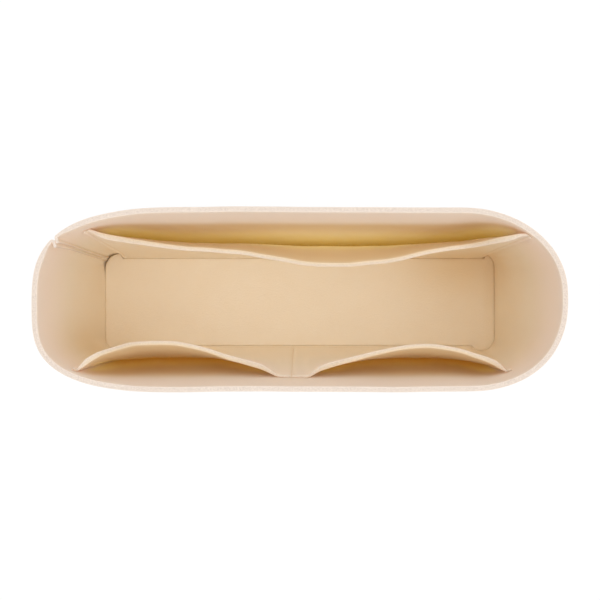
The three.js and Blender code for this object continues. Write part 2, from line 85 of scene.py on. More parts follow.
# Pockets
POCKET_TOP = 119.0
BACK_LEFT_CLIMB = 13.0  # how much higher the panels are sewn at each end of a mouth
BACK_RIGHT_CLIMB = 22.0
FRONT_LEFT_CLIMB = 20.0
FRONT_RIGHT_CLIMB = 5.0
CLIMB_REACH = 35.0
PINCH = 1.7  # how much thinner a panel's top edge is where it is sewn down
PINCH_CLOSER = 0.2  # and how much closer to the wall
PINCH_OPEN = 5.0  # the pinch ends where the mouth stands this far open
MOUTH_THINNING = 0.6  # how much thinner the edge is where it stands free
THINNING_DEPTH = 14.0  # that starts this far below the edge
THIN_OPEN = 14.0  # and is full where the mouth stands this far open
LOOSE_OPEN = 6.0  # and the panel waves in full from here
POCKET_SEAM = 14.0  # height of the row of stitches along the bottom
STITCH_INSET = 2.0
STITCH_FREE = 1.0  # the rows end this far below the mouth
BACK_MARGIN = 4.0
BACK_MOUTH_LEFT_GAP = 8.0
BACK_MOUTH_RIGHT_GAP = 3.1
BACK_BULGE = 22.4
FRONT_MARGIN = 3.0
FRONT_MOUTH_LEFT_GAP = 9.4
FRONT_MOUTH_RIGHT_GAP = 11.0
FRONT_LEFT_BULGE = 18.4
FRONT_RIGHT_BULGE = 16.0
DIVIDER_LEFT = 12.0
DIVIDER_RIGHT = 5.5
DIVIDER_SEAM = -4.5
DIVIDER_FOOT = 3.0
BULGE_POWER = 2.3  # how late a panel leaves the wall on its way up
BULGE_SOFTNESS = 1.1  # felt bends no sharper than this allows, in mm along the mouth
BULGE_STEP = 0.25
BULGE_KERNEL = 16
BULGE_PAST = 8.0  # the mouth's curve is worked out this far past its ends

# How open each mouth stands: place along it and opening, both as shares
BACK_BULGE_SHARES = [
    (0, 0), (0.02, 0.14), (0.065, 0.32), (0.11, 0.42), (0.16, 0.5), (0.26, 0.6), (0.35, 0.71), (0.44, 0.85),
    (0.51, 0.95), (0.58, 1), (0.64, 0.96), (0.72, 0.82), (0.81, 0.62), (0.91, 0.47), (0.955, 0.31),
    (0.98, 0.16), (1, 0),
]
FRONT_LEFT_BULGE_SHARES = [
    (0, 0), (0.02, 0.22), (0.07, 0.52), (0.12, 0.68), (0.18, 0.82), (0.24, 0.94), (0.36, 1), (0.49, 0.94),
    (0.62, 0.75), (0.74, 0.54), (0.87, 0.31), (0.94, 0.17), (1, 0),
]
FRONT_RIGHT_BULGE_SHARES = [
    (0, 0), (0.045, 0.3), (0.11, 0.56), (0.18, 0.72), (0.24, 0.85), (0.3, 0.945), (0.36, 0.99), (0.42, 1),
    (0.54, 0.94), (0.66, 0.77), (0.785, 0.56), (0.905, 0.32), (0.96, 0.18), (1, 0),
]

# Floor. Corners go anticlockwise from the front left
FLOOR_GAP_LEFT = 0.04
FLOOR_GAP_RIGHT = 0.1
FLOOR_GAP_FRONT = 0.06
FLOOR_GAP_BACK = 0.06
FLOOR_CORNERS = (9.0, 9.0, 9.0, 10.5)
BOARD_CORNERS = (4.0, 3.0, 3.0, 7.0)
PRESS_RUN = 1.5  # length on which the floor's edge steps in beside the end of a pocket panel
FLOOR_DROOP = 1.75  # how far the free right end hangs down past the board
DROOP_CURVE = 1.25  # length of the whole S-shaped fall, of which the end stops short at 1
FLOOR_OVERHANG = 9.5
BOARD_GAP_RIGHT = 7.5
BOARD_INSET = 4.3
TOP_SKIN = 0.2  # what lies this close to a flat piece's top sinks with its hollows

# Slow unevenness of the felt: a seed, then pairs of wave length and height of the wave
WALL_WAVES = (3, (150, 0.22), (61, 0.08), (27, 0.03))
RIM_WAVES = (11, (170, 0.3), (48, 0.08), (19, 0.03))
PANEL_WAVES = (21, (57, 0.3), (24, 0.1))
MOUTH_WAVES = (31, (90, 0.25), (31, 0.08))
WALL_WAVES_RISE = 60.0  # they grow up to this height above the base
WALL_WAVES_QUIET = 25.0  # and over this length beside the corner seam

# Stitches
LOCK_STITCH = 3.6  # pitch of the machine rows
CORNER_STITCH = 4.4
OVERCAST_PITCH = 8.0
OVERCAST_TOP = 6.5
OVERCAST_BOTTOM = 0.9
GROOVE_DEPTH = 0.42  # how far a tight row pulls the felt in
GROOVE_WIDTH = 1.0
GROOVE_END = 0.5  # how far a groove goes on past its last stitch
STITCH_PROUD = 0.04  # how far a stitch lies above the bottom of its groove
STITCH_BOW = 0.4  # how far its middle rises
LOCK_SPACE = 0.35  # between one stitch and the next
CORNER_SPACE = 0.4
CORNER_END = 2.0
OVERCAST_THICKER = 1.15
OVERCAST_PROUD = 0.12
OVERCAST_BOW = 0.25
PLY_TWIST = 1900.0  # in radians per metre of thread
PLY_FLAT = 0.72

CURVE_STEPS = 96
COLUMN_STEP = 2.4
ROW_STEP = 4.0
LEAST_STEP = 0.1  # places are no closer than this beside a seam
DIRECTION_REACH = 1.5  # the wall's direction is taken over this length both ways
SEAM_SIDES = (-1.9, -1.2, -0.6, 0, 0.6, 1.2, 1.9)  # columns or rows beside each seam


# Camera, lamps and the floor that it stands on

CAMERA_PLACE = (0.0011, -0.0058, 0.567)
CAMERA_TARGET = (0.00026, -0.00037, 0.145)
WORLD_LEVEL = 0.72
OVERHEAD_SOFTBOX = (0.84, 70, (-0.08, 0.04, 1))  # level, spread in degrees and direction
FRONT_SOFTBOX = (0.46, 50, (0.46, -0.28, 1))
FLOOR_REACH = 3.0
FLOOR_GLOW = 0.86  # how much of the floor's white is its own where the camera sees it


def put(name, data):
    """A new object in the scene."""
    obj = bpy.data.objects.new(name, data)
    bpy.context.collection.objects.link(obj)
    return obj


def aim(obj, place, target):
    """Puts a camera or lamp at a place and turns it to a target, with +Y upwards in its view."""
    back = (Vector(place) - Vector(target)).normalized()
    right = Vector((0, 1, 0)).cross(back).normalized()
    over = back.cross(right)
    turned = Matrix((right, over, back)).transposed().to_4x4()
    obj.matrix_world = Matrix.Translation(place) @ turned


def set_camera():
    data = bpy.data.cameras.new("camera")
    data.sensor_width = 36.0
    data.lens = 48.12
    data.clip_start = 0.01
    camera = put("camera", data)
    aim(camera, CAMERA_PLACE, CAMERA_TARGET)
    bpy.context.scene.camera = camera


set_camera()


def arithmetic(operation, turned=False):
    """A method that adds a Math node; turned is for a plain number before the socket."""
    def method(self, other):
        return self.work(operation, other, self) if turned else self.work(operation, self, other)
    return method


class Value:
    """An output socket. Arithmetic on it adds Math nodes to its tree."""

    def __init__(self, tree, socket):
        self.tree = tree
        self.socket = socket

    def work(self, operation, *values):
        node = self.tree.nodes.new("ShaderNodeMath")
        node.operation = operation
        for slot, value in zip(node.inputs, values):
            feed(self.tree, slot, value)
        return Value(self.tree, node.outputs[0])

    __add__, __radd__ = arithmetic("ADD"), arithmetic("ADD", True)
    __sub__, __rsub__ = arithmetic("SUBTRACT"), arithmetic("SUBTRACT", True)
    __mul__, __rmul__ = arithmetic("MULTIPLY"), arithmetic("MULTIPLY", True)
    __mod__ = arithmetic("MODULO")


def feed(tree, slot, value):
    if isinstance(value, Value):
        tree.links.new(value.socket, slot)
    else:
        slot.default_value = value


class Nodes:
    """A node tree that is written as Python."""

    def __init__(self, tree):
        self.tree = tree
        tree.nodes.clear()

    def add(self, kind, values=None, settings=None, out=0):
        node = self.tree.nodes.new(kind)
        for key, setting in (settings or {}).items():
            setattr(node, key, setting)
        for key, value in (values or {}).items():
            feed(self.tree, node.inputs[key], value)
        return Value(self.tree, node.outputs[out]) if len(node.outputs) else node

    def clamped(self, value):
        """A value kept from 0 to 1."""
        return self.add("ShaderNodeClamp", {"Value": value})

    def noise(self, where, scale, detail, roughness=0.5, out="Fac"):
        values = {"Vector": where, "Scale": scale, "Detail": detail, "Roughness": roughness}
        return self.add("ShaderNodeTexNoise", values, out=out)

    def bump(self, strength, distance, height):
        values = {"Strength": strength, "Distance": distance, "Height": height}
        return self.add("ShaderNodeBump", values)

    def between(self, first, second, factor):
        """A colour between two colours."""
        return self.add("ShaderNodeMix", {0: factor, 6: first, 7: second}, {"data_type": "RGBA"}, 2)

    def moved(self, vector, offset, scale):
        """vector plus scale times offset."""
        scaled = self.add("ShaderNodeVectorMath", {"Vector": offset, "Scale": scale}, {"operation": "SCALE"})
        return self.add("ShaderNodeVectorMath", {0: vector, 1: scaled}, {"operation": "ADD"})


def colour(red, green, blue):
    """An sRGB colour from 0 to 255, as the linear colour that sockets take."""
    def linear(level):
        level /= 255
        return level / 12.92 if level <= 0.04045 else ((level + 0.055) / 1.055) ** 2.4
    return (linear(red), linear(green), linear(blue), 1.0)


def background_share(nodes):
    """1 for the rays that see the background directly, in a mirror or through glass."""
    kinds = "Camera", "Glossy", "Transmission"
    camera, glossy, clear = (nodes.add("ShaderNodeLightPath", out=f"Is {kind} Ray") for kind in kinds)
    return nodes.clamped(camera + glossy + clear)


def set_world():
    world = bpy.data.worlds.new("studio")
    world.use_nodes = True
    nodes = Nodes(world.node_tree)
    seen = background_share(nodes)
    strength = WORLD_LEVEL + (1 - WORLD_LEVEL) * seen
    light = nodes.add("ShaderNodeBackground", {"Color": (1, 1, 1, 1), "Strength": strength})
    nodes.add("ShaderNodeOutputWorld", {"Surface": light})
    bpy.context.scene.world = world


def set_softbox(name, level, spread, direction):
    data = bpy.data.lights.new(name, "SUN")
    data.energy = level
    data.angle = math.radians(spread)
    aim(put(name, data), direction, (0, 0, 0))


def set_floor():
    mesh = bpy.data.meshes.new("floor")
    corners = [(FLOOR_REACH * x, FLOOR_REACH * y, 0) for x, y in ((-1, -1), (1, -1), (1, 1), (-1, 1))]
    mesh.from_pydata(corners, [], [(0, 1, 2, 3)])
    floor = put("floor", mesh)
    material = bpy.data.materials.new("white_floor")
    material.use_nodes = True
    nodes = Nodes(material.node_tree)
    seen = background_share(nodes)
    paint = nodes.add("ShaderNodeBsdfDiffuse", {"Color": (0.9, 0.9, 0.9, 1)})
    glow = nodes.add("ShaderNodeEmission", {"Color": (1, 1, 1, 1), "Strength": 1.03})
    mixed = nodes.add("ShaderNodeMixShader", {0: FLOOR_GLOW * seen, 1: paint, 2: glow})
    nodes.add("ShaderNodeOutputMaterial", {"Surface": mixed})
    mesh.materials.append(material)


set_world()
set_softbox("overhead_softbox", *OVERHEAD_SOFTBOX)
set_softbox("front_softbox", *FRONT_SOFTBOX)
set_floor()
scene = bpy.context.scene
scene.view_settings.view_transform = "Standard"
# Pale felt passes light on many times before a deep pocket is as golden as it should be
scene.cycles.max_bounces = scene.cycles.diffuse_bounces = 16


# Finishes

FELT_COLOUR = colour(249, 241, 224)
# The darker end of the felt's random mottling, which also paints shade into the stitch grooves
FELT_MOTTLE_AND_GROOVE_SHADE = colour(246, 236, 217)
# Painted light: the wall is painted paler and pinker towards the rim, where more light falls on it
PAINTED_RIM_LIGHT = colour(253, 236, 222)  # towards the rim
UPPER_FROM = 0.09  # height in metres where that starts
FELT_CUT = colour(216, 200, 187)  # on the cut edges
# Painted light and shade inside the pockets: the darker golden colour that light takes after passing many
# times between the felt
POCKET_SHADE_NEAR = colour(232, 207, 161)  # by the mouth
POCKET_SHADE_FRONT = colour(252, 244, 194)  # deep in the front pockets
POCKET_SHADE_BACK = colour(252, 247, 222)  # deep in the back pocket, which is wider
# Painted light: deep in the pockets the felt glows a little, though it is no lamp
PAINTED_GLOW_FRONT = (0.0185, 0.0062, 0.0, 1.0)
PAINTED_GLOW_BACK = (0.024, 0.0125, 0.0, 1.0)
NO_PAINTED_GLOW = (0.0, 0.0, 0.0, 1.0)
TINT_OPEN = (0.5, 3.5)  # the tint begins and is full where the mouth stands this far open
TINT_PAST = 2.0  # how far above the mouth the tint still shows on the wall
PANEL_FADE = 2.0  # depth on which it comes in on the panel's own face
# Depth on which the tint comes in on the wall, and depths where its deep colour begins and is full
BACK_TINT = (14, 6, 44)
FRONT_TINT = (26, 18, 64)
NARROW_OPEN = (4, 14)  # where the mouth stands no further open than the first, the pocket is narrow
NARROW_DEPTH = 0.4  # and the deep colour comes within this share of the depth
# Painted shade: a little of the pockets' golden colour on the panels' top edges
MOUTH_EDGE_SHADING = 0.2
# Painted shade: the base panel, which shows only in the crevice round the floor, gets part of the pockets'
# golden colour
BASE_SHADING = 0.6
BOARD_COLOURS = colour(186, 174, 156), colour(214, 205, 190)
THREAD_COLOURS = colour(225, 199, 160), colour(247, 231, 204)


def make_finish(name, surface):
    """A material. surface gets its tree and the place on the piece, and returns its sockets' values."""
    material = bpy.data.materials.new(name)
    material.use_nodes = True
    nodes = Nodes(material.node_tree)
    place = nodes.add("ShaderNodeTexCoord", out="Object")
    shader = nodes.add("ShaderNodeBsdfPrincipled", surface(nodes, place))
    nodes.add("ShaderNodeOutputMaterial", {"Surface": shader})
    return material


def felt_surface(nodes, place):
    cut, pulled, painted_shading, deep = (
        nodes.add("ShaderNodeAttribute", None, {"attribute_name": name}, "Fac")
        for name in ("cut", "pulled", "painted_shading", "deep"))
    across = nodes.add("ShaderNodeSeparateXYZ", {"Vector": place}, out="Y")
    height = nodes.add("ShaderNodeSeparateXYZ", {"Vector": place}, out="Z")

    # Short curled fibres that lie in every direction
    curl = nodes.noise(place, 420.0, 1.0, 0.6, "Color")
    curl = nodes.add("ShaderNodeVectorMath", {0: curl, 1: (0.5, 0.5, 0.5)}, {"operation": "SUBTRACT"})
    curled = nodes.moved(place, curl, 0.0022)
    fibres = None
    for turn in ((0.3, 0.9, 0.2), (1.2, 0.4, 1.9), (2.1, 1.7, 0.8), (0.7, 2.6, 2.9)):
        values = {"Vector": curled, "Rotation": turn, "Scale": (330, 3000, 3000)}
        strand = nodes.noise(nodes.add("ShaderNodeMapping", values), 1.0, 1.0)
        fibres = strand if fibres is None else fibres.work("MAXIMUM", fibres, strand)
    pores = nodes.noise(place, 1500.0, 2.0, 0.6)
    cloud = nodes.noise(place, 46.0, 2.5, 0.6)
    patch = nodes.noise(place, 11.0, 1.5, 0.6)

    # The body, darker with painted shade where stitches pull the felt in and paler and pinker with painted
    # light towards the rim, then the specks of the cut edges
    fleece = (fibres - 0.62) * 2.4
    # Painted shade: the felt is darker where stitches pull it in
    shade = 0.5 + (cloud - 0.5) * 0.9 + (patch - 0.5) * 0.7 + fleece * 0.55 - pulled * 0.6
    body = nodes.between(FELT_MOTTLE_AND_GROOVE_SHADE, FELT_COLOUR, nodes.clamped(shade))
    body = nodes.between(body, PAINTED_RIM_LIGHT, nodes.clamped((height - UPPER_FROM) * 25.0) * 0.75)
    base = nodes.between(body, FELT_CUT, nodes.clamped(cut * (0.62 + (pores - 0.5) * 1.6)))

    # The painted shade and painted glow inside the pockets
    at_back = nodes.clamped(across * 200.0)
    golden = nodes.between(POCKET_SHADE_FRONT, POCKET_SHADE_BACK, at_back)
    golden = nodes.between(POCKET_SHADE_NEAR, golden, deep)
    # Painted glow, strongest deep in the pockets
    glow = nodes.between(NO_PAINTED_GLOW, nodes.between(PAINTED_GLOW_FRONT, PAINTED_GLOW_BACK, at_back), painted_shading * deep)

    relief = fleece * (1 - cut * 0.7) + (pores - 0.5) * (0.35 + cut * 1.6)
    return {
        "Base Color": nodes.between(base, golden, painted_shading), "Roughness": 0.93 + (pores - 0.5) * 0.1,
        "Normal": nodes.bump(0.55, 0.00022, relief), "Specular IOR Level": 0.2,
        "Sheen Weight": 0.12, "Sheen Roughness": 0.6, "Sheen Tint": (1.0, 0.95, 0.87, 1.0),
        "Emission Color": glow, "Emission Strength": 1.0,
    }


def board_surface(nodes, place):
    pulp = nodes.noise(place, 900.0, 4.0)
    stain = nodes.noise(place, 60.0, 2.0)
    shade = nodes.clamped(0.5 + (pulp - 0.5) * 1.3 + (stain - 0.5) * 0.7)
    return {
        "Base Color": nodes.between(*BOARD_COLOURS, shade), "Roughness": 0.82 + (pulp - 0.5) * 0.1,
        "Normal": nodes.bump(0.25, 0.0001, pulp),
    }


def thread_surface(nodes, place):
    lint = nodes.noise(place, 5200.0, 2.0)
    lot = nodes.noise(place, 180.0, 1.0)
    shade = nodes.clamped(0.5 + (lint - 0.5) * 1.5 + (lot - 0.5) * 0.6)
    return {
        "Base Color": nodes.between(*THREAD_COLOURS, shade), "Roughness": 0.62 + (lint - 0.5) * 0.12,
        "Normal": nodes.bump(0.4, 0.00008, lint), "Sheen Weight": 0.2, "Sheen Roughness": 0.4,
    }


CREAM_FELT = make_finish("cream_felt", felt_surface)
GREY_BOARD = make_finish("grey_board", board_surface)
CREAM_THREAD = make_finish("cream_thread", thread_surface)


# The outline of the wall, as in the part's source

def mix(low, high, share):
    return low + (high - low) * share


class Outline:
    """Middle of the wall's felt at one height: a line from the corner seam, anticlockwise from above."""

    def __init__(self, rise):
        inset = FELT / 2
        half_length = mix(BASE_LENGTH, RIM_LENGTH, rise) / 2 - inset
        half_depth = mix(BASE_DEPTH, RIM_DEPTH, rise) / 2 - inset

        def corner(side_x, side_y, reach, end_y, square, start, end):
            rx = mix(BASE_CORNER, reach, rise) - inset
            ry = mix(BASE_CORNER, RIM_DEPTH / 2 - side_y * end_y, rise) - inset
            power = 2 / mix(BASE_SQUARE, square, rise)
            turn = np.linspace(start, end, CURVE_STEPS + 1)
            across = half_length - rx + rx * np.abs(np.cos(turn)) ** power
            along = half_depth - ry + ry * np.abs(np.sin(turn)) ** power
            return np.stack([side_x * across, side_y * along], axis=1)

        quarter = math.pi / 2
        self.points = np.concatenate([
            corner(-1, 1, *RIM_BACK_LEFT, SEAM_TURN, 2 * quarter),
            corner(-1, -1, *RIM_FRONT_LEFT, 2 * quarter, 3 * quarter),
            corner(1, -1, *RIM_FRONT_RIGHT, 3 * quarter, 4 * quarter),
            corner(1, 1, *RIM_BACK_RIGHT, 0, quarter),
            corner(-1, 1, *RIM_BACK_LEFT, quarter, SEAM_TURN),
        ])
        steps = np.linalg.norm(np.diff(self.points, axis=0), axis=1)
        self.lengths = np.concatenate([[0], np.cumsum(steps)])
        self.loop = self.lengths[-1]
        self.front = self.middle_after(2)
        self.back = self.middle_after(4)

    def middle_after(self, corners):
        """Distance of the middle of the long side that follows so many corners."""
        last = corners * (CURVE_STEPS + 1) - 1
        return self.lengths[last] + abs(self.points[last][0])

    def at(self, distance):
        wrapped = np.mod(distance, self.loop)
        x = np.interp(wrapped, self.lengths, self.points[:, 0])
        y = np.interp(wrapped, self.lengths, self.points[:, 1])
        return np.stack([x, y], axis=-1)

    def inward(self, distance):
        along = self.at(np.add(distance, DIRECTION_REACH)) - self.at(np.subtract(distance, DIRECTION_REACH))
        along /= np.linalg.norm(along, axis=-1, keepdims=True)
        return np.stack([-along[..., 1], along[..., 0]], axis=-1)


def edge_steps(edge_round):
    """Distances from a cut edge, finer where it is rounded."""
    return [edge_round * (1 - math.cos(math.radians(turn))) for turn in (0, 22, 45, 67, 90)]


def tongue_at(rise):
    return mix(TONGUE_BASE, TONGUE_RIM, rise ** TONGUE_POWER)


def turned_end(line, rise, side):
    """Where the fold of one turned end starts, and the middle of the felt from there to the tip."""
    heading_angle = mix(TONGUE_BASE_HEADING, TONGUE_RIM_HEADING, rise)
    heading = np.array([math.cos(heading_angle), math.sin(heading_angle)])
    across = np.array([heading[1], -heading[0]]) * side
    seam = line.at(0.0)
    off_seam = (SEAM_FELT + SEAM_GAP) / 2

    def centre_at(start):
        return line.at(side * start) + line.inward(side * start) * (FOLD_RADIUS - (FELT - SEAM_FELT) / 2)

    # The fold starts where the turned end just clears the seam's middle
    near = 0.0
    far = FOLD_REACH
    for _ in range(40):
        middle = (near + far) / 2
        if (centre_at(middle) - seam) @ across - FOLD_RADIUS > off_seam:
            far = middle
        else:
            near = middle
    centre = centre_at(far)
    first = line.inward(side * far)
    start_angle = math.atan2(first[1], first[0]) + math.pi
    end_angle = math.atan2(-across[1], -across[0])
    turn = side * ((side * (start_angle - end_angle)) % (2 * math.pi))
    points = []
    for k in range(1, FOLD_STEPS + 1):
        angle = start_angle - turn * k / FOLD_STEPS
        points.append(centre + FOLD_RADIUS * np.array([math.cos(angle), math.sin(angle)]))
    bend_end = points[-1]
    tongue = tongue_at(rise)
    inner = tongue - EDGE_ROUND
    points += [bend_end + heading * (inner * share) for share in (0.2, 0.4, 0.6, 0.8)]
    points += [bend_end + heading * (tongue - step) for step in edge_steps(EDGE_ROUND)[::-1]]
    return far, np.array(points)


# Places along the base, measured on the middle of the wall's felt
base = Outline(0.0)
SIDE_RUN = BASE_LENGTH - 2 * BASE_CORNER
FRONT_START = base.front - SIDE_RUN / 2
BACK_START = base.back - SIDE_RUN / 2
FIRST_FOLD = turned_end(base, 0.0, 1)[0]
LAST_FOLD = base.loop - turned_end(base, 0.0, -1)[0]
DIVIDER_PLACE = base.front + DIVIDER_SEAM


def spread(start, end, step, marks=()):
    """Places from start to end no further apart than a step, finer across each seam among the marks."""
    fixed = [start]
    for place in sorted(mark + side for mark in marks for side in SEAM_SIDES):
        if fixed[-1] + LEAST_STEP < place < end:
            fixed.append(place)
    fixed.append(end)
    places = []
    for here, there in zip(fixed, fixed[1:]):
        count = max(math.ceil((there - here) / step), 1)
        places += [mix(here, there, k / count) for k in range(count)]
    return np.array([*places, end])


def spread_with_edges(start, end, step, marks=(), edge_round=EDGE_ROUND):
    """The same, finer within the rounded edge at both ends."""
    inner = spread(start + edge_round, end - edge_round, step, marks)
    steps = np.array(edge_steps(edge_round)[:-1])
    return np.concatenate([start + steps, inner, end - steps[::-1]])


def smooth(value, low, high):
    """0 up to low, 1 from high on, and an S-shaped curve between them."""
    share = np.clip((value - low) / (high - low), 0, 1)
    return share * share * (3 - 2 * share)


def waves(place, height, seed, *sizes):
    """Slow unevenness of felt: the sizes are pairs of wave length and height of the wave."""
    phases = np.random.default_rng(seed).uniform(0, 2 * math.pi, (len(sizes), 3))
    total = 0.0
    for (length, tall), (first, second, third) in zip(sizes, phases):
        bend = np.sin(place / length * 2.1 + height / length * 1.7 + second)
        total = total + tall * np.sin(2 * math.pi * place / length + first + 0.7 * bend)
        total = total + 0.4 * tall * np.sin(2 * math.pi * height / (0.8 * length) + third + bend)
    return total


LEGS = (FIRST_FOLD, base.front, base.back, LAST_FOLD)  # places that every level has its own distance for


class Level:
    """The wall at one height: where each place along its base has come to, and which way is inwards."""

    def __init__(self, height):
        rise = (height - FELT) / (HEIGHT - FELT)
        self.height = height
        self.line = Outline(rise)
        first, self.first_end = turned_end(self.line, rise, 1)
        last, self.last_end = turned_end(self.line, rise, -1)
        self.here = (first, self.line.front, self.line.back, self.line.loop - last)

    def at(self, places):
        distance = np.interp(places, LEGS, self.here)
        inward = self.line.inward(distance)
        share = np.clip((self.height - FELT) / WALL_WAVES_RISE, 0, 1)
        uneven = share * waves(places, self.height, *WALL_WAVES)
        quiet = np.clip(np.minimum(places - FIRST_FOLD, LAST_FOLD - places) / WALL_WAVES_QUIET, 0, 1)
        return self.line.at(distance) + inward * (uneven * quiet)[..., None], inward


def raised(plan, height):
    """Points in plan with their heights."""
    return np.concatenate([plan, np.broadcast_to(np.reshape(height, (-1, 1)), (len(plan), 1))], axis=1)


def measured(grid, axis):
    """Length along a grid of points from its start, row by row or column by column."""
    steps = np.linalg.norm(np.diff(grid, axis=axis), axis=2)
    start = np.zeros_like(np.take(steps, [0], axis=axis))
    return np.concatenate([start, np.cumsum(steps, axis=axis)], axis=axis)


def edge_curve(distance, edge_round):
    """How full the felt is at a distance from a rounded edge, from 0 to 1."""
    inside = np.clip(distance / edge_round, 0, 1)
    return np.sqrt(1 - (1 - inside) ** 2)


def groove(distance):
    return np.exp(-(distance / GROOVE_WIDTH) ** 2)


def no_groove(grid):
    return np.zeros(grid.shape[:2])


def felt_piece(name, middle, inner_pull, outer_pull, inner_shading=None, outer_shading=None, thickness=FELT,
               finish=CREAM_FELT, edge_round=EDGE_ROUND, foot_round=None, edge_reach=None):
    """A closed sheet of felt round a grid of its middle points in mm, with softened cut edges.

    The pulls, from 0 to 1, say where stitches draw each face in and paint shade into the felt there. A
    shading is a pair: where painted light and shade lie on a face, and how deep inside a pocket it is.
    """
    along, up = measured(middle, 1), measured(middle, 0)
    du = np.gradient(middle, along.mean(axis=0), axis=1)
    dv = np.gradient(middle, up.mean(axis=1), axis=0)
    inward = np.cross(dv, du)
    inward /= np.linalg.norm(inward, axis=2, keepdims=True)
    reach = edge_reach or edge_round
    crown = edge_curve(up, foot_round or reach)
    for distance in (along, along[:, -1:] - along, up[-1:] - up):
        crown = crown * edge_curve(distance, reach)
    half = thickness / 2 - edge_round + edge_round * crown
    inner = middle + inward * (half - GROOVE_DEPTH * inner_pull)[..., None]
    outer = middle - inward * (half - GROOVE_DEPTH * outer_pull)[..., None]
    rows, columns = middle.shape[:2]
    one, two = np.arange(2 * rows * columns).reshape(2, rows, columns)
    faces = np.concatenate([np.stack(corners, axis=-1).reshape(-1, 4) for corners in (
        # The two faces of the felt
        (one[:-1, :-1], one[1:, :-1], one[1:, 1:], one[:-1, 1:]),
        (two[:-1, :-1], two[:-1, 1:], two[1:, 1:], two[1:, :-1]),
        # Its four cut edges
        (one[0, :-1], one[0, 1:], two[0, 1:], two[0, :-1]),
        (one[1:, -1], two[1:, -1], two[:-1, -1], one[:-1, -1]),
        (one[-1, 1:], one[-1, :-1], two[-1, :-1], two[-1, 1:]),
        (one[:-1, 0], two[:-1, 0], two[1:, 0], one[1:, 0]),
    )])
    mesh = bpy.data.meshes.new(name)
    points = np.concatenate([inner.reshape(-1, 3), outer.reshape(-1, 3)]) * MM
    mesh.from_pydata(points.tolist(), [], faces.tolist())
    cut = (1 - crown) * (reach == edge_round)  # an edge that is pressed round shows no cut
    plain = (no_groove(middle), no_groove(middle))
    painted_shadings, depths = zip(inner_shading or plain, outer_shading or plain)
    marks = {"cut": (cut, cut), "pulled": (inner_pull, outer_pull), "painted_shading": painted_shadings, "deep": depths}
    for mark, on_faces in marks.items():
        mesh.attributes.new(mark, "FLOAT", "POINT").data.foreach_set("value", np.array(on_faces).ravel())
    face_outwards(mesh)
    mesh.shade_smooth()
    mesh.materials.append(finish)
    return put(name, mesh)


def face_outwards(mesh):
    work = bmesh.new()
    work.from_mesh(mesh)
    bmesh.ops.recalc_face_normals(work, faces=work.faces)
    work.to_mesh(mesh)
    work.free()


# Painted light in two corners, where bounced light gathers and the felt is painted more golden: middle,
# reach each way and strength
PAINTED_WARM_CORNERS = [((112, 28, 12), (38, 22, 45), 0.6), ((-137, -33, 62), (25, 16, 42), 0.55)]


def painted_warmth(points):
    total = 0.0
    for middle, reach, strength in PAINTED_WARM_CORNERS:
        total = total + strength * np.exp(-(((points - middle) / reach) ** 2).sum(axis=-1))
    return total


# Pockets

def spline(shares):
    """The smooth curve through a table of shares, as fine lists of places and heights."""
    table = np.array(shares, dtype=float)
    last = len(table) - 1
    place = np.linspace(0, last, 40 * last + 1)
    k = np.minimum(place.astype(int), last - 1)
    t = (place - k)[:, None]
    p0, p1 = table[np.maximum(k - 1, 0)], table[k]
    p2, p3 = table[k + 1], table[np.minimum(k + 2, last)]
    v0, v1 = (p2 - p0) / 2, (p3 - p1) / 2
    points = (2 * p1 - 2 * p2 + v0 + v1) * t ** 3 + (-3 * p1 + 3 * p2 - 2 * v0 - v1) * t ** 2 + v0 * t + p1
    return points[:, 0], np.maximum(points[:, 1], 0)


def bulge_along(start, end, bulge, shares):
    """How far a panel stands off the wall along one mouth, with its bends softened to what felt can do."""
    low, high = min(start, end), max(start, end)
    fine = np.arange(low - BULGE_PAST, high + BULGE_PAST, BULGE_STEP)
    across, out = spline(shares)
    raw = bulge * np.interp((fine - start) / (end - start), across, out, left=0, right=0)
    reach = np.arange(-BULGE_KERNEL, BULGE_KERNEL + 1) * BULGE_STEP
    kernel = np.exp(-(reach / BULGE_SOFTNESS) ** 2)
    soft = np.convolve(raw, kernel / kernel.sum(), mode="same")
    return fine, soft


def leaning(rows):
    """Share of the way from the bottom seam up to the mouth."""
    return np.maximum(rows - POCKET_SEAM, 0) / (POCKET_TOP - POCKET_SEAM)


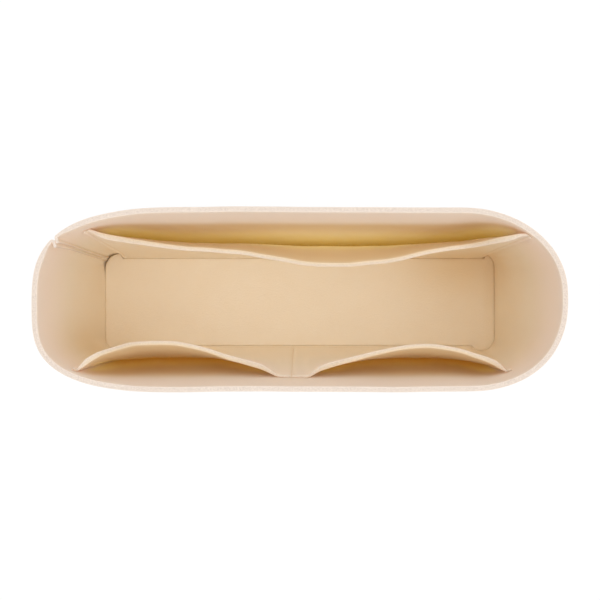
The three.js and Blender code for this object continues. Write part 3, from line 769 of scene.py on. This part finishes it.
class Pocket:
    """One panel. Its mouth's ends are places along the base, each with how much higher the panel is sewn."""

    def __init__(self, start, end, start_climb, end_climb, margin, tint, mouths):
        self.start, self.end = start, end
        self.start_climb, self.end_climb = start_climb, end_climb
        self.first, self.last = start - margin, end + margin
        self.fade, self.deep_from, self.deep_to = tint
        self.seams = (self.first + STITCH_INSET, self.last - STITCH_INSET)
        self.mouths = [bulge_along(*mouth) for mouth in mouths]

    def climb(self, places):
        at_start = 1 - smooth(places, self.start, self.start + CLIMB_REACH)
        at_end = smooth(places, self.end - CLIMB_REACH, self.end)
        return self.start_climb * at_start + self.end_climb * at_end

    def open_by(self, places):
        return sum(np.interp(places, *mouth, left=0, right=0) for mouth in self.mouths)

    def heights(self, places, rows):
        """The rows fan out upwards near the ends of the mouth."""
        return rows + self.climb(places) * leaning(rows) ** 2

    def layer(self, places, rows):
        """How far the panel's middle is from the wall's middle, and its thickness there."""
        lean = leaning(rows)
        out = self.open_by(places)
        pinch = (1 - smooth(out, 0, PINCH_OPEN)) * lean ** 3
        sewn = FELT - PINCH * pinch
        thin = smooth(out, PINCH_OPEN, THIN_OPEN) * smooth(rows, POCKET_TOP - THINNING_DEPTH, POCKET_TOP)
        loose = np.clip(out / LOOSE_OPEN, 0, 1) * lean
        uneven = loose * waves(places, rows, *PANEL_WAVES)
        close = CLEARANCE - PINCH_CLOSER * pinch
        off = FELT / 2 + close + sewn / 2 + out * lean ** BULGE_POWER + uneven
        return off, sewn - MOUTH_THINNING * thin

    def painted_shading(self, places, heights, fade):
        """Where a wall or panel gets the pocket's painted shade and glow, and how deep it is there, both
        from 0 to 1.
        """
        top = POCKET_TOP + self.climb(places)
        out = self.open_by(places)
        inside = (places > self.start) & (places < self.end)
        inside = inside * smooth(out, *TINT_OPEN) * (1 - smooth(heights, top - fade, top + TINT_PAST))
        narrow = mix(NARROW_DEPTH, 1, smooth(out, *NARROW_OPEN))
        return inside, smooth((top - heights) / narrow, self.deep_from, self.deep_to)


BACK_MOUTH_RIGHT = BACK_START + BACK_MOUTH_RIGHT_GAP
BACK_MOUTH_LEFT = BACK_START + SIDE_RUN - BACK_MOUTH_LEFT_GAP
FRONT_MOUTH_LEFT = FRONT_START + FRONT_MOUTH_LEFT_GAP
FRONT_MOUTH_RIGHT = FRONT_START + SIDE_RUN - FRONT_MOUTH_RIGHT_GAP
BACK_POCKET = Pocket(
    BACK_MOUTH_RIGHT, BACK_MOUTH_LEFT, BACK_RIGHT_CLIMB, BACK_LEFT_CLIMB, BACK_MARGIN, BACK_TINT,
    [(BACK_MOUTH_LEFT, BACK_MOUTH_RIGHT, BACK_BULGE, BACK_BULGE_SHARES)])
FRONT_POCKET = Pocket(
    FRONT_MOUTH_LEFT, FRONT_MOUTH_RIGHT, FRONT_LEFT_CLIMB, FRONT_RIGHT_CLIMB, FRONT_MARGIN, FRONT_TINT,
    [(FRONT_MOUTH_LEFT, base.front - DIVIDER_LEFT, FRONT_LEFT_BULGE, FRONT_LEFT_BULGE_SHARES),
     (FRONT_MOUTH_RIGHT, base.front + DIVIDER_RIGHT, FRONT_RIGHT_BULGE, FRONT_RIGHT_BULGE_SHARES)])
POCKETS = (BACK_POCKET, FRONT_POCKET)


def seam_pull(pocket, places, heights, climbs):
    """How near each point of a wall or panel is to a pocket's row of stitches."""
    first, last = pocket.seams
    place, height = np.meshgrid(places, heights)
    pull = groove(height - POCKET_SEAM) * ((place > first - GROOVE_END) & (place < last + GROOVE_END))
    for seam, climb in zip((first, last), climbs):
        below = (height > POCKET_SEAM - GROOVE_END) & (height < POCKET_TOP + climb + GROOVE_END)
        pull = np.maximum(pull, groove(place - seam) * below)
    return pull


def divider_pull(places, heights):
    place, height = np.meshgrid(places, heights)
    low = POCKET_SEAM + DIVIDER_FOOT - GROOVE_END
    return groove(place - DIVIDER_PLACE) * ((height > low) & (height < POCKET_TOP))


# Wall strip

WALL_HEIGHTS = spread_with_edges(FELT, HEIGHT, ROW_STEP, (POCKET_SEAM,))
WALL_SEAMS = (*BACK_POCKET.seams, *FRONT_POCKET.seams, DIVIDER_PLACE)
WALL_PLACES = spread(FIRST_FOLD, LAST_FOLD, COLUMN_STEP, WALL_SEAMS)
wall_levels = [Level(height) for height in WALL_HEIGHTS]


def wall_strip():
    thin = smooth(np.minimum(WALL_PLACES - FIRST_FOLD, LAST_FOLD - WALL_PLACES), 0, SEAM_TAPER)
    free_thickness = mix(SEAM_FELT, FELT, thin)
    rows = []
    for level in wall_levels:
        free, inward = level.at(WALL_PLACES)
        free = free - inward * ((FELT - free_thickness) / 2)[:, None]
        plan = np.concatenate([level.first_end[::-1], free, level.last_end])
        rows.append(raised(plan, level.height))
    middle = np.array(rows)
    fold = len(wall_levels[0].first_end)
    free = slice(fold, fold + len(WALL_PLACES))
    ends = [SEAM_FELT] * fold
    thickness = np.array([*ends, *free_thickness, *ends])[None, :]
    top = np.clip((WALL_HEIGHTS - POCKET_TOP) / (HEIGHT - POCKET_TOP), 0, 1)[:, None] ** 2
    run = measured(middle, 1)[-1][None, :]
    middle[..., 2] += top * waves(run, 0.0, *RIM_WAVES)
    outer_pull, painted_shading, deep = no_groove(middle), no_groove(middle), no_groove(middle)
    outer_pull[:, free] = divider_pull(WALL_PLACES, WALL_HEIGHTS)
    for pocket in POCKETS:
        pull = seam_pull(pocket, WALL_PLACES, WALL_HEIGHTS, (pocket.start_climb, pocket.end_climb))
        outer_pull[:, free] = np.maximum(outer_pull[:, free], pull)
        inside, depth = pocket.painted_shading(WALL_PLACES, WALL_HEIGHTS[:, None], pocket.fade)
        painted_shading[:, free] += inside
        deep[:, free] += depth * (inside > 0)
    painted_shading = np.maximum(painted_shading, painted_warmth(middle))
    return felt_piece("felt_wall_strip", middle, no_groove(middle), outer_pull, (painted_shading, deep),
                      thickness=thickness, foot_round=FOOT_ROUND)


# Pocket panels

PANEL_ROWS = spread_with_edges(FELT, POCKET_TOP, ROW_STEP, (POCKET_SEAM,))


def beside_wall(places, heights):
    """Middle of the wall and the way inwards, at rows of heights above places along the base."""
    tables = [np.array(table) for table in zip(*(level.at(places) for level in wall_levels))]
    step = np.interp(heights, WALL_HEIGHTS, np.arange(len(WALL_HEIGHTS)))
    low = np.minimum(step.astype(int), len(WALL_HEIGHTS) - 2)
    share = (step - low)[..., None]
    column = np.broadcast_to(np.arange(len(places)), low.shape)
    return [mix(table[low, column], table[low + 1, column], share) for table in tables]


def pocket_panel(name, pocket, marks):
    places = spread_with_edges(pocket.first, pocket.last, COLUMN_STEP, (*pocket.seams, *marks))
    rows = PANEL_ROWS[:, None]
    heights = pocket.heights(places, rows)
    wall, inward = beside_wall(places, heights)
    off, thickness = pocket.layer(places, rows)
    middle = np.concatenate([wall + inward * off[..., None], heights[..., None]], axis=-1)
    inner_pull = seam_pull(pocket, places, PANEL_ROWS, (0.0, 0.0))
    if marks:
        inner_pull = np.maximum(inner_pull, divider_pull(places, PANEL_ROWS))
    middle[..., 2] += leaning(rows) ** 4 * waves(places[None, :], 0.0, *MOUTH_WAVES)
    # Painted shade: a little of the pockets' golden colour on the panel's top edge
    edge = MOUTH_EDGE_SHADING * smooth(rows, POCKET_TOP - EDGE_ROUND, POCKET_TOP) + no_groove(middle)
    inside, depth = pocket.painted_shading(places, heights, PANEL_FADE)
    outer_shading = np.maximum(inside, edge), depth
    inner_shading = np.maximum(painted_warmth(middle), edge), no_groove(middle)
    return felt_piece(name, middle, inner_pull, no_groove(middle), inner_shading, outer_shading,
                      thickness=thickness, foot_round=FOOT_ROUND)


# Base, stiffener and floor

def press(x, half_depth):
    """How much of a floor's half depth is left at each x beside the front and the back panel."""
    shares = []
    for pocket in (FRONT_POCKET, BACK_POCKET):
        low, high = sorted(base.at(place)[0] for place in (pocket.first, pocket.last))
        into = smooth(x, low - PRESS_RUN, low - LEAST_STEP)
        pressed = into * (1 - smooth(x, high + LEAST_STEP, high + PRESS_RUN))
        shares.append(1 - (FELT + CLEARANCE) * pressed / half_depth)
    return shares


def hollows(x, y):
    """How uneven the top of a flat piece is."""
    return 0.08 * np.sin(x / 23 + y / 31) + 0.05 * np.sin(x / 11 - y / 17 + 1)


def plate(name, low, high, corners, bottom, thickness, finish, edge_round=EDGE_ROUND, edge_reach=None,
          top_shading=0.0, beside_panels=False):
    """A flat piece with four corner radii. Its grid closes in concentric quarter circles on each corner."""
    reach = edge_reach or edge_round
    panel_ends = [base.at(place)[0] for pocket in POCKETS for place in (pocket.first, pocket.last)]
    columns = spread_with_edges(low[0], high[0], COLUMN_STEP, panel_ends if beside_panels else (), reach)
    x, y = np.meshgrid(columns, spread_with_edges(low[1], high[1], COLUMN_STEP, (), reach))
    flat = np.stack([x, y], axis=-1)
    ends = ((low[0], low[1]), (high[0], low[1]), (high[0], high[1]), (low[0], high[1]))
    for (end_x, end_y), radius in zip(ends, corners):
        side = np.array([1 if end_x == high[0] else -1, 1 if end_y == high[1] else -1])
        centre = np.array([end_x, end_y]) - side * radius
        out = (flat - centre) * side
        there = (out > 0).all(axis=-1)
        radius_here = out.max(axis=-1)
        turn = np.where(
            out[..., 0] >= out[..., 1],
            math.pi / 4 * out[..., 1] / np.maximum(out[..., 0], 1e-9),
            math.pi / 2 - math.pi / 4 * out[..., 0] / np.maximum(out[..., 1], 1e-9),
        )
        bent = centre + side * radius_here[..., None] * np.stack([np.cos(turn), np.sin(turn)], axis=-1)
        flat = np.where(there[..., None], bent, flat)
    if beside_panels:
        front, back = press(flat[..., 0], high[1])
        flat[..., 1] *= np.where(flat[..., 1] < 0, front, back)
    level = bottom + thickness / 2 + np.zeros_like(x)
    middle = np.stack([flat[..., 0], flat[..., 1], level], axis=-1)
    # Painted light in the warm corners, and the base panel's painted shade of the pockets' golden colour
    painted_shading = np.maximum(painted_warmth(middle), top_shading), no_groove(middle)
    piece = felt_piece(name, middle, no_groove(middle), no_groove(middle), painted_shading, painted_shading, thickness, finish,
                       edge_round, edge_reach=edge_reach)
    top = bottom + thickness
    for vertex, lift in zip(piece.data.vertices, np.tile(hollows(x, y).ravel(), 2)):
        if vertex.co.z > (top - TOP_SKIN) * MM:
            vertex.co.z += min(lift, 0.0) * MM
    return piece


def floor_plan(inset, right_gap):
    """Low and high corner between the walls, which leave more room at the floor than at their feet."""
    lean = (RIM_DEPTH - BASE_DEPTH) / 2 * (BOARD + FELT / 2) / (HEIGHT - FELT)
    half_length = BASE_LENGTH / 2 - FELT - inset
    half_depth = BASE_DEPTH / 2 - FELT + lean - inset
    low = (FLOOR_GAP_LEFT - half_length, FLOOR_GAP_FRONT - half_depth)
    high = (BASE_LENGTH / 2 - FELT - right_gap, half_depth - FLOOR_GAP_BACK)
    return low, high


def hang_end(piece):
    """Lets the right end of the floor down where no board carries it."""
    end = max(vertex.co.x for vertex in piece.data.vertices)
    for vertex in piece.data.vertices:
        share = (vertex.co.x - end) / (FLOOR_OVERHANG * MM) + 1
        fall = float(smooth(share, 0, DROOP_CURVE)) / float(smooth(1, 0, DROOP_CURVE))
        vertex.co.z -= FLOOR_DROOP * MM * fall


# Stitches

def stitch_tree():
    """A row of single stitches along a line whose points say which way is off the felt."""
    tree = bpy.data.node_groups.new("row_of_stitches", "GeometryNodeTree")
    sockets = {}
    interface = tree.interface
    interface.new_socket("Line", in_out="INPUT", socket_type="NodeSocketGeometry")
    for name in ("Pitch", "Length", "Thread", "Slant", "Bow", "Finish"):
        kind = "NodeSocketMaterial" if name == "Finish" else "NodeSocketFloat"
        sockets[name] = interface.new_socket(name, in_out="INPUT", socket_type=kind).identifier
    interface.new_socket("Stitches", in_out="OUTPUT", socket_type="NodeSocketGeometry")
    nodes = Nodes(tree)
    given = tree.nodes.new("NodeGroupInput")

    def value(name):
        return Value(tree, given.outputs[name])

    curve = nodes.add("GeometryNodeMeshToCurve", {"Mesh": value("Line")})
    spaced = nodes.add("GeometryNodeResampleCurve", {"Curve": curve, "Length": value("Pitch")},
                       {"mode": "LENGTH"})
    # One stitch: an arc of flattened, twisted thread whose ends go down into the felt
    length, thread, bow = value("Length"), value("Thread"), value("Bow")
    left = nodes.add("ShaderNodeCombineXYZ", {"X": length * -0.5, "Z": bow * -1.2})
    middle = nodes.add("ShaderNodeCombineXYZ", {"Z": bow})
    right = nodes.add("ShaderNodeCombineXYZ", {"X": length * 0.5, "Z": bow * -1.2})
    values = {"Resolution": 7, "Start": left, "Middle": middle, "End": right}
    arc = nodes.add("GeometryNodeCurveQuadraticBezier", values)
    twist = nodes.add("GeometryNodeSplineParameter", out="Length") * PLY_TWIST
    arc = nodes.add("GeometryNodeSetCurveTilt", {"Curve": arc, "Tilt": twist})
    ring = nodes.add("GeometryNodeCurvePrimitiveCircle", {"Resolution": 6, "Radius": thread * 0.5})
    ply = nodes.add("GeometryNodeTransform", {"Geometry": ring, "Scale": (1.0, PLY_FLAT, 1.0)})
    stitch = nodes.add("GeometryNodeCurveToMesh", {"Curve": arc, "Profile Curve": ply, "Fill Caps": True})
    # Each is laid along the line, upright on the felt; overcast ones slant one way and the other in turn
    tangent = nodes.add("GeometryNodeInputTangent")
    off = nodes.add("GeometryNodeInputNamedAttribute", {"Name": "off"}, {"data_type": "FLOAT_VECTOR"})
    turn = nodes.add("FunctionNodeAlignRotationToVector", {"Vector": tangent}, {"axis": "X"})
    turn = nodes.add("FunctionNodeAlignRotationToVector", {"Rotation": turn, "Vector": off},
                     {"axis": "Z", "pivot_axis": "X"})
    parity = nodes.add("GeometryNodeInputIndex") % 2.0
    slant = value("Slant") * (parity * 2.0 - 1.0)
    lean = nodes.add("FunctionNodeAxisAngleToRotation", {"Axis": (0.0, 0.0, 1.0), "Angle": slant})
    turn = nodes.add("FunctionNodeRotateRotation", {"Rotation": turn, "Rotate By": lean},
                     {"rotation_space": "LOCAL"})
    row = nodes.add("GeometryNodeInstanceOnPoints", {"Points": spaced, "Instance": stitch, "Rotation": turn})
    row = nodes.add("GeometryNodeRealizeInstances", {"Geometry": row})
    row = nodes.add("GeometryNodeSetShadeSmooth", {"Geometry": row})
    row = nodes.add("GeometryNodeSetMaterial", {"Geometry": row, "Material": value("Finish")})
    nodes.add("NodeGroupOutput", {"Stitches": row})
    return tree, sockets


STITCH_TREE, STITCH_SOCKETS = stitch_tree()


def stitch_row(name, points, off, pitch, length, thread=THREAD, slant=0.0, bow=STITCH_BOW):
    """Sews a row along points; off are the directions away from the felt."""
    mesh = bpy.data.meshes.new(name)
    edges = [(k, k + 1) for k in range(len(points) - 1)]
    mesh.from_pydata((np.array(points) * MM).tolist(), edges, [])
    mesh.attributes.new("off", "FLOAT_VECTOR", "POINT").data.foreach_set("vector", np.array(off).ravel())
    row = put(name, mesh)
    sewn = row.modifiers.new("stitches", "NODES")
    sewn.node_group = STITCH_TREE
    for size, amount in (("Pitch", pitch * MM), ("Length", length * MM), ("Thread", thread * MM),
                         ("Slant", slant), ("Bow", bow * MM), ("Finish", CREAM_THREAD)):
        sewn[STITCH_SOCKETS[size]] = amount
    evaluated = row.evaluated_get(bpy.context.evaluated_depsgraph_get())
    plain = bpy.data.meshes.new_from_object(evaluated)
    row.modifiers.clear()
    row.data = plain
    return row


def u_route(pocket):
    """Places and rows down one end of a panel, along its bottom and up the other end."""
    first, last = pocket.seams
    down = spread(POCKET_SEAM, POCKET_TOP - STITCH_FREE, 6)[::-1]
    bottom = spread(first, last, 3)
    places = [*([first] * len(down)), *bottom[1:-1], *([last] * len(down))]
    rows = [*down, *([POCKET_SEAM] * (len(bottom) - 2)), *down[::-1]]
    return places, rows


def face_route(pocket, places, rows, side):
    """Points on the panel's inner face (side 1) or the wall's outer face, and the way off the felt."""
    places, rows = np.array(places), np.array(rows)
    heights = pocket.heights(places, rows)
    wall, inward = beside_wall(places, heights)
    sunk = GROOVE_DEPTH - STITCH_PROUD
    off, thickness = pocket.layer(places, rows)
    out = off + thickness / 2 - sunk if side > 0 else FELT / 2 - sunk + np.zeros(len(places))
    plan = wall + side * inward * out[:, None]
    return raised(plan, heights), raised(side * inward, np.zeros(len(places)))


def pocket_stitches(name, pocket, places, rows):
    sizes = LOCK_STITCH, LOCK_STITCH - LOCK_SPACE
    needle = stitch_row(f"{name}_needle_stitches", *face_route(pocket, places, rows, 1), *sizes)
    bobbin = stitch_row(f"{name}_bobbin_stitches", *face_route(pocket, places, rows, -1), *sizes)
    return needle, bobbin


def corner_stitches(name, side):
    """The row on the outer face of the first turned end (side 1) or the last."""
    points, off = [], []
    for height in spread(FELT + CORNER_END, HEIGHT - CORNER_END, 4):
        level = Level(height)
        tongue = level.first_end if side > 0 else level.last_end
        heading = tongue[-1] - tongue[-2]
        heading /= np.linalg.norm(heading)
        across = np.array([heading[1], -heading[0]]) * side
        half_way = tongue_at((height - FELT) / (HEIGHT - FELT)) / 2
        plan = tongue[-1] - heading * half_way + across * (SEAM_FELT / 2 + STITCH_PROUD)
        points.append((*plan, height))
        off.append((*across, 0.0))
    return stitch_row(name, points, off, CORNER_STITCH, CORNER_STITCH - CORNER_SPACE)


def overcast_stitches():
    """Slanting stitches over the joint between the wall's foot and the base."""
    points, off = [], []
    middle = (OVERCAST_TOP + OVERCAST_BOTTOM) / 2
    level = Level(FELT)
    for place in spread(FIRST_FOLD + 1, LAST_FOLD - 1, 2):
        wall, inward = level.at(np.array([place]))
        plan = wall[0] - inward[0] * (FELT / 2 + OVERCAST_PROUD)
        points.append((*plan, middle))
        off.append((*(-inward[0]), 0.0))
    tall = OVERCAST_TOP - OVERCAST_BOTTOM
    wide = OVERCAST_PITCH / 2
    return stitch_row("base_overcast_stitches", points, off, wide, math.hypot(tall, wide),
                      THREAD * OVERCAST_THICKER, math.atan2(tall, wide), OVERCAST_BOW)


# Making everything

wall = wall_strip()
back_panel = pocket_panel("felt_back_pocket_panel", BACK_POCKET, ())
front_panel = pocket_panel("felt_front_pocket_panel", FRONT_POCKET, (DIVIDER_PLACE,))
half_base = (BASE_LENGTH / 2, BASE_DEPTH / 2)
base_panel = plate(
    "felt_base_panel", (-half_base[0], -half_base[1]), half_base, (BASE_CORNER,) * 4, 0.0, FELT, CREAM_FELT,
    top_shading=BASE_SHADING)
board = plate(
    "stiff_base_board", *floor_plan(BOARD_INSET, BOARD_GAP_RIGHT), BOARD_CORNERS, FELT, BOARD, GREY_BOARD)
floor_panel = plate(
    "felt_floor_panel", *floor_plan(0.0, FLOOR_GAP_RIGHT), FLOOR_CORNERS, FELT + BOARD, FELT, CREAM_FELT,
    FLOOR_EDGE_ROUND, FLOOR_EDGE_REACH, beside_panels=True)
hang_end(floor_panel)

back_needle, back_bobbin = pocket_stitches("back_pocket", BACK_POCKET, *u_route(BACK_POCKET))
front_needle, front_bobbin = pocket_stitches("front_pocket", FRONT_POCKET, *u_route(FRONT_POCKET))
divider_rows = spread(POCKET_SEAM + DIVIDER_FOOT, POCKET_TOP - STITCH_FREE, 6)
divider_needle, divider_bobbin = pocket_stitches(
    "pocket_divider", FRONT_POCKET, [DIVIDER_PLACE] * len(divider_rows), divider_rows)
corner_needle = corner_stitches("corner_seam_needle_stitches", 1)
corner_bobbin = corner_stitches("corner_seam_bobbin_stitches", -1)
overcast = overcast_stitches()

for piece, node in (
    (wall, "wall_strip"),
    (back_panel, "back_pocket_panel"),
    (front_panel, "front_pocket_panel"),
    (base_panel, "base_panel"),
    (board, "base_board"),
    (floor_panel, "floor_panel"),
    (back_needle, "back_pocket_needle_thread"),
    (back_bobbin, "back_pocket_bobbin_thread"),
    (front_needle, "front_pocket_needle_thread"),
    (front_bobbin, "front_pocket_bobbin_thread"),
    (divider_needle, "pocket_divider_needle_thread"),
    (divider_bobbin, "pocket_divider_bobbin_thread"),
    (corner_needle, "corner_seam_needle_thread"),
    (corner_bobbin, "corner_seam_bobbin_thread"),
    (overcast, "base_overcast_thread"),
):
    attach(piece, "root")
    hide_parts(node)
